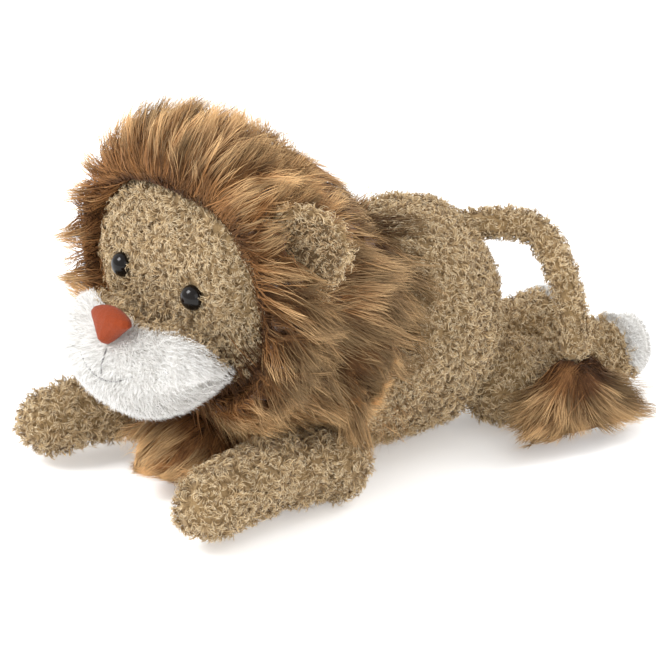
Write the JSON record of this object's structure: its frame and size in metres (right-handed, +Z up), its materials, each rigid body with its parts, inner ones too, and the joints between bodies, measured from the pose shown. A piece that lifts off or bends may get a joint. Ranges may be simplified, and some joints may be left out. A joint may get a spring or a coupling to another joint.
{
  "type": "plush lion",
  "caption": "Curly plush lion lying on its belly, with a long mane, white muzzle, bead eyes and tasselled tail, sewn from separate stuffed pieces.",
  "frame": {"origin": "on the floor under the belly, on the flat resting face, in the lion's plane of symmetry", "axes": "+Z up, +Y from the face towards the hind feet, +X towards the lion's left side"},
  "size_m": [0.1966, 0.359, 0.2086],
  "materials": {
    "curly_pile": "matte",
    "curly_lining": "matte",
    "long_pile": "matte",
    "white_pile": "matte",
    "nose_felt": "matte",
    "thread": "matte",
    "filling": "matte",
    "eye_bead": "gloss",
    "washer_plastic": "satin"
  },
  "bodies": {
    "torso": {"torso_skin": "curly_pile", "torso_stuffing": "filling", "mane_shoulder_left": "long_pile", "mane_shoulder_right": "long_pile", "mane_chest": "long_pile"},
    "head": {"head_skin": "curly_pile", "head_stuffing": "filling", "muzzle": "white_pile", "muzzle_seam": "thread", "smile_stitch": "thread", "nose": "nose_felt", "eye_left": "eye_bead", "eye_right": "eye_bead", "eye_washer_left": "washer_plastic", "eye_washer_right": "washer_plastic", "mane_ruff": "long_pile"},
    "ear_left": {"ear_left": "curly_pile", "ear_lining_left": "curly_lining"},
    "ear_right": {"ear_right": "curly_pile", "ear_lining_right": "curly_lining"},
    "foreleg_left": {"foreleg_left": "curly_pile"},
    "foreleg_right": {"foreleg_right": "curly_pile"},
    "hind_leg_left": {"hind_leg_left": "curly_pile", "sole_pad_left": "white_pile"},
    "hind_leg_right": {"hind_leg_right": "curly_pile", "sole_pad_right": "white_pile"},
    "tail": {"tail": "curly_pile", "tail_tassel": "long_pile"}
  },
  "joints": [
    {"name": "head_turn", "type": "hinge", "parent": "torso", "child": "head", "pos_m": [0, -0.071, 0.058], "axis": [0, 0, 1], "range_deg": [-12, 12], "stiffness_Nm_per_rad": 0.6},
    {"name": "ear_fold_left", "type": "hinge", "parent": "head", "child": "ear_left", "pos_m": [0.059, -0.107, 0.15], "axis": [-0.1066, -0.0895, 0.9903], "range_deg": [-12, 12], "stiffness_Nm_per_rad": 0.01},
    {"name": "ear_fold_right", "type": "hinge", "parent": "head", "child": "ear_right", "pos_m": [-0.059, -0.107, 0.15], "axis": [0.1066, -0.0895, 0.9903], "range_deg": [-12, 12], "stiffness_Nm_per_rad": 0.01},
    {"name": "foreleg_swing_left", "type": "hinge", "parent": "torso", "child": "foreleg_left", "pos_m": [0.062, -0.066, 0.0225], "axis": [0, 0, 1], "range_deg": [-4, 14], "stiffness_Nm_per_rad": 0.15},
    {"name": "foreleg_swing_right", "type": "hinge", "parent": "torso", "child": "foreleg_right", "pos_m": [-0.062, -0.066, 0.0225], "axis": [0, 0, 1], "range_deg": [-14, 4], "stiffness_Nm_per_rad": 0.15},
    {"name": "hind_leg_swing_left", "type": "hinge", "parent": "torso", "child": "hind_leg_left", "pos_m": [0.034, 0.078, 0.0265], "axis": [0, 0, 1], "range_deg": [-4, 3], "stiffness_Nm_per_rad": 0.15},
    {"name": "hind_leg_swing_right", "type": "hinge", "parent": "torso", "child": "hind_leg_right", "pos_m": [-0.034, 0.078, 0.0265], "axis": [0, 0, 1], "range_deg": [-3, 12], "stiffness_Nm_per_rad": 0.15},
    {"name": "tail_swing", "type": "hinge", "parent": "torso", "child": "tail", "pos_m": [0.003, 0.07, 0.111], "axis": [0, 0, 1], "range_deg": [-8, 5], "stiffness_Nm_per_rad": 0.05}
  ]
}
